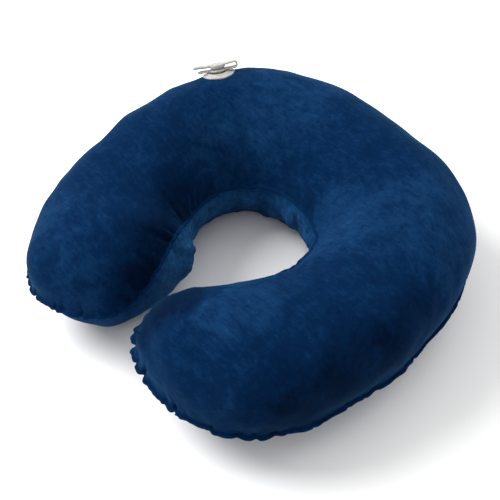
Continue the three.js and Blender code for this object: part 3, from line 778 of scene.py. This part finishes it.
def valve_falls():
    """How fast the sheet falls away from the seat, along the arm and across it, per distance squared."""
    turn_reach = VALVE_REACH / varied(HALF_WIDTH, VALVE_ANGLE)
    pairs = (((VALVE_LENGTH + VALVE_REACH, VALVE_TURN), (VALVE_LENGTH - VALVE_REACH, VALVE_TURN)),
             ((VALVE_LENGTH, VALVE_TURN + turn_reach), (VALVE_LENGTH, VALVE_TURN - turn_reach)))
    seat = tube_point(np.array(VALVE_LENGTH), VALVE_TURN)
    falls = []
    for one, other in pairs:
        a, b = tube_point(np.array(one[0]), one[1]), tube_point(np.array(other[0]), other[1])
        drop = (seat - (a + b) / 2) @ np.array(VALVE_OUT)
        falls.append(drop / (np.linalg.norm(a - b) / 2) ** 2)
    return falls


def rounded(profile, radius, closed=True):
    """The same outline with its corners rounded, each by no more than 0.45 of its shorter side."""
    points = [np.array(point, float) for point in profile]
    made = []
    for i, corner in enumerate(points):
        if not closed and i in (0, len(points) - 1):
            made.append(corner)
            continue
        before, after = points[i - 1] - corner, points[(i + 1) % len(points)] - corner
        cut = min(radius, 0.45 * np.linalg.norm(before), 0.45 * np.linalg.norm(after))
        a = corner + before / np.linalg.norm(before) * cut
        b = corner + after / np.linalg.norm(after) * cut
        for t in np.linspace(0, 1, CORNER_STEPS):
            made.append((1 - t) ** 2 * a + 2 * t * (1 - t) * corner + t ** 2 * b)
    return np.array(made)


def turned(profile, segments=96):
    """Closed outline of (radius, z) points in mm, swept round the z axis."""
    outline = np.array(profile) * MM
    angle = np.linspace(0, 2 * np.pi, segments, endpoint=False)[:, None]
    points = np.stack([outline[:, 0] * np.cos(angle), outline[:, 0] * np.sin(angle),
                       outline[:, 1] + 0 * angle], -1)
    return points.reshape(-1, 3), ring_faces(segments, len(outline))


def ribbon(path, half_widths, thickness, edge=0.5):
    """Flat strap in mm: path holds (x, z) of its underside's middle line, half_widths its width at each."""
    path = np.array(path, float)
    step = np.gradient(path, axis=0)
    step /= np.linalg.norm(step, axis=1, keepdims=True)
    normal = np.stack([-step[:, 1], step[:, 0]], -1)
    section = []
    for side_y, side_z in ((-1, 0), (1, 0), (1, 1), (-1, 1)):
        corner = {(-1, 0): np.pi, (1, 0): 1.5 * np.pi, (1, 1): 0, (-1, 1): 0.5 * np.pi}[(side_y, side_z)]
        for t in np.linspace(0, np.pi / 2, 4):
            section.append((side_y, side_z, edge * math.cos(corner + t), edge * math.sin(corner + t)))
    rows = []
    for side_y, side_z, off_y, off_z in section:
        across = side_y * np.maximum(half_widths - edge, 0.02) + off_y
        lift = (thickness - edge if side_z else edge) + off_z
        row = path + normal * lift
        rows.append(np.stack([row[:, 0], across, row[:, 1]], -1))
    k = len(section)
    points = np.stack(rows, 1).reshape(-1, 3)
    faces = ring_faces(len(path), k, closed_columns=False)
    faces += [list(range(k))[::-1], [(len(path) - 1) * k + i for i in range(k)]]
    return points * MM, faces


def tongue_places(end, half, start, steps):
    """Places along a tongue, from its rounded end at low x to its start."""
    round_end = end + half * (1 - np.cos(np.linspace(0.03, np.pi / 2, TONGUE_STEPS)))
    return np.concatenate([round_end, np.linspace(end + half + 0.6, start, steps)])


def tongue_widths(xs, end, half):
    """Half widths of the tongue at those places."""
    return half * np.sqrt(np.clip(1 - ((end + half - xs).clip(0) / half) ** 2, 0.003, 1))


def moulded(name, parts):
    """One soft moulded piece from overlapping closed parts, with small fillets where they meet."""
    points, faces = [], []
    for part_points, part_faces in parts:
        start = sum(len(p) for p in points)
        points.append(part_points)
        faces += [[start + int(i) for i in face] for face in part_faces]
    rough = make_mesh(name, np.concatenate(points) * TO_MM, faces)
    remesh = rough.modifiers.new("remesh", "REMESH")
    remesh.mode = "VOXEL"
    remesh.voxel_size = VOXEL
    smooth = rough.modifiers.new("smooth", "SMOOTH")
    smooth.factor = 0.5
    smooth.iterations = SMOOTHING_PASSES
    return baked(rough)


def baked(piece):
    """The piece with its modifiers applied, brought from millimetres in the valve's frame to its place."""
    mesh = bpy.data.meshes.new_from_object(piece.evaluated_get(bpy.context.evaluated_depsgraph_get()))
    piece.modifiers.clear()
    piece.data = mesh
    mesh.name = piece.name
    mesh.transform(VALVE_FRAME @ Matrix.Scale(MM, 4))
    mesh.polygons.foreach_set("use_smooth", [True] * len(mesh.polygons))
    return piece


def in_valve(name, points, faces):
    """A piece from points in metres in the valve's frame."""
    piece = make_mesh(name, points, faces)
    piece.data.transform(VALVE_FRAME)
    return piece


def make_flange():
    """Flange that follows the sheet's curve, with a raised ring, and the web that dips in to the stem."""
    outline = rounded([
        (5.2, -5), (6.2, -5), (8.1, -0.4), (9, -0.5), (14.9, -0.5), (15, 0.75), (14.3, 1.15),
        (13.7, 1.15), (13.4, 0.95), (12.7, 0.95), (12.4, 1.2), (11.3, 1.25), (10.7, 2.05), (9.2, 2.1),
        (8.4, 1.4), (6.1, -4.1), (5.2, -4.2)], 0.3)
    points, faces = turned(outline, 128)
    along, across = valve_falls()
    x, y = points[:, 0], points[:, 1]
    points[:, 2] -= along * (x * math.cos(STRAP_TURN) - y * math.sin(STRAP_TURN)) ** 2
    points[:, 2] -= across * (x * math.sin(STRAP_TURN) + y * math.cos(STRAP_TURN)) ** 2
    angle = np.arctan2(y, x)
    uneven = 0.22 * np.sin(3 * angle + 0.4) + 0.12 * np.sin(7 * angle + 2)
    points[:, 2] += smoothstep(np.hypot(x, y), 11 * MM, 15 * MM) * MM * uneven
    return in_valve("flange", points, faces)


def make_stem():
    outline = rounded([
        (STEM_BORE, STEM_BOTTOM), (STEM_RADIUS, STEM_BOTTOM), (STEM_RADIUS, 4.6), (5.4, 4.9), (5.4, 5.3),
        (5, STEM_TOP), (3.4, STEM_TOP), (STEM_BORE, 5)], 0.25)
    return in_valve("stem", *turned(outline, 72))


def make_strap():
    """Collar round the stem with its pull tail, the strap's lower leaf and its hairpin bend."""
    top = STRAP_BASE + STRAP_THICKNESS
    half = STRAP_WIDTH / 2
    collar = turned(rounded([(COLLAR_BORE, STRAP_BASE), (COLLAR_RADIUS, STRAP_BASE), (COLLAR_RADIUS, top),
                             (COLLAR_BORE, top)], 0.3))
    rib = turned(rounded([(6.3, top - 0.2), (7, top - 0.2), (7, top + 0.22), (6.3, top + 0.22)], 0.15))
    xs = tongue_places(COLLAR_TAIL_X, half, -5.6, 14)
    sag = [0.3 * math.sin((x - COLLAR_TAIL_X) * 0.33) * smoothstep(-x, 8, 12) for x in xs]
    tail = ribbon([(x, STRAP_BASE + drop) for x, drop in zip(xs, sag)],
                  tongue_widths(xs, COLLAR_TAIL_X, half), STRAP_THICKNESS)
    turn = np.linspace(-np.pi / 2, np.pi / 2, 22)
    centre = STRAP_BASE + HAIRPIN_RADIUS
    path = [(x, STRAP_BASE) for x in np.linspace(5.6, HAIRPIN_X - 0.4, 16)]
    path += [(HAIRPIN_X + HAIRPIN_RADIUS * math.cos(t), centre + HAIRPIN_RADIUS * math.sin(t)) for t in turn]
    leaf = ribbon(path, np.full(len(path), half), STRAP_THICKNESS)
    return moulded("collar_strap", (collar, rib, tail, leaf))


def make_cap():
    """Cap with its plug, the strap's upper leaf and a pull tab with grips."""
    half = STRAP_WIDTH / 2
    cap = turned([(0.02, 1.5)] + rounded([
        (0.02, 1.5), (2.2, 1.5), (2.6, CAP_BASE), (CAP_RADIUS, CAP_BASE), (CAP_RADIUS, CAP_BASE + 2.6),
        (6.3, CAP_BASE + 3.1), (5.6, CAP_BASE + 2.75), (2.2, CAP_BASE + 2.7), (1.8, CAP_BASE + 3.1),
        (0.02, CAP_BASE + 3.1)], 0.4, closed=False).tolist())
    leaf_end = HAIRPIN_X - 0.3
    hinge_base = STRAP_BASE + 2 * HAIRPIN_RADIUS - STRAP_THICKNESS
    xs = np.linspace(4.5, leaf_end, 20)
    rise = np.interp(xs, (4.5, 9, leaf_end), (CAP_BASE + 1.1, CAP_BASE + 1.5, hinge_base))
    leaf = ribbon(np.stack([xs, rise], -1), np.full(len(xs), half), STRAP_THICKNESS)
    xs = tongue_places(CAP_TAB_X, half, -4, 18)
    rise = CAP_BASE + 1 + 0.5 * np.sin((xs - CAP_TAB_X) * 0.3) * smoothstep(-xs, 8, 14)
    tab = ribbon(np.stack([xs, rise], -1), tongue_widths(xs, CAP_TAB_X, half), CAP_TAB_THICKNESS, 0.6)
    foot, top = CAP_BASE + 1 + CAP_TAB_THICKNESS - 0.3, CAP_BASE + CAP_TAB_THICKNESS + 0.75
    grips = [ribbon([(x - 0.3, foot), (x, top), (x + 0.3, top)], np.full(3, 2.4), 0.5, 0.2)
             for x in GRIP_PLACES]
    return moulded("cap", (cap, leaf, tab, *grips))


def make_bend():
    """Thin web set into both ends of the strap's bend, so that the strap doesn't part when the cap swings."""
    centre = STRAP_BASE + HAIRPIN_RADIUS
    radius = HAIRPIN_RADIUS - BEND_DEPTH - BEND_THICKNESS
    path = [(x, centre + radius) for x in np.linspace(HAIRPIN_X - 2.5, HAIRPIN_X - 0.1, 20)]
    path += [(HAIRPIN_X + radius * math.sin(t), centre + radius * math.cos(t))
             for t in np.linspace(0, 0.7, 14)]
    half_widths = np.full(len(path), STRAP_WIDTH / 2 - 0.3)
    bend = in_valve("strap_bend", *ribbon(path, half_widths, BEND_THICKNESS, 0.3))
    bend.data.materials.append(white_pvc)
    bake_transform(bend)


def make_flap():
    """Non-return flap under the stem's bore, with the lug that it hangs by."""
    top = STEM_BOTTOM - 0.3
    base = top - 0.7
    disc = turned([(0.02, base)] + rounded([(0.02, base), (4.2, base), (4.2, top), (0.02, top)], 0.25,
                                           closed=False).tolist(), 64)
    lug = ribbon([(3.4, base), (4.4, base), (5.3, base)], np.full(3, 1.5), 0.7, 0.2)
    return moulded("flap", (disc, lug))


finish_piece(make_flange(), white_pvc, "pillow", "white_pvc", "valve_flange")
finish_piece(make_stem(), white_pvc, "stem", "white_pvc", "valve_stem")
finish_piece(make_strap(), white_pvc, "stem", "white_pvc", "cap_strap")
finish_piece(make_cap(), white_pvc, "cap", "white_pvc", "valve_cap")
finish_piece(make_flap(), clear_pvc, "flap", "clear_pvc", "check_flap")
make_bend()


# ---------------------------------------------------------------- floor and light
FLOOR_HALF, FLOOR_HEIGHT = 4, -0.0002
LIGHT_AIM = Vector((0, 0, 0.05))


def make_floor():
    corners = [(x * FLOOR_HALF, y * FLOOR_HALF, FLOOR_HEIGHT)
               for x, y in ((-1, -1), (1, -1), (1, 1), (-1, 1))]
    floor = make_mesh("floor", corners, [(0, 1, 2, 3)])
    n = Nodes("pale_floor")
    n.link(n.ramp(n.noise(3, 2), ((0.3, grey(0.90)), (0.7, grey(0.93)))), n.shader.inputs["Base Color"])
    n.set(Roughness=0.9, Specular_IOR_Level=0.1)
    floor.data.materials.append(n.material)


def make_light(name, place, size, energy):
    data = bpy.data.lights.new(name, "AREA")
    data.shape = "DISK"
    data.size = size
    data.energy = energy
    light = bpy.data.objects.new(name, data)
    light.location = place
    light.rotation_euler = (Vector(place) - LIGHT_AIM).to_track_quat("Z", "Y").to_euler()
    scene.collection.objects.link(light)


make_floor()
make_light("key", (-1.5, -0.7, 1.65), 1.5, 64)
make_light("fill", (0.2, 1.7, 1.5), 1.9, 12)
scene.view_settings.view_transform = "Standard"
world = bpy.data.worlds.new("studio")
world.use_nodes = True
background = world.node_tree.nodes["Background"]
background.inputs["Color"].default_value = (1, 1, 1, 1)
background.inputs["Strength"].default_value = 0.84
scene.world = world
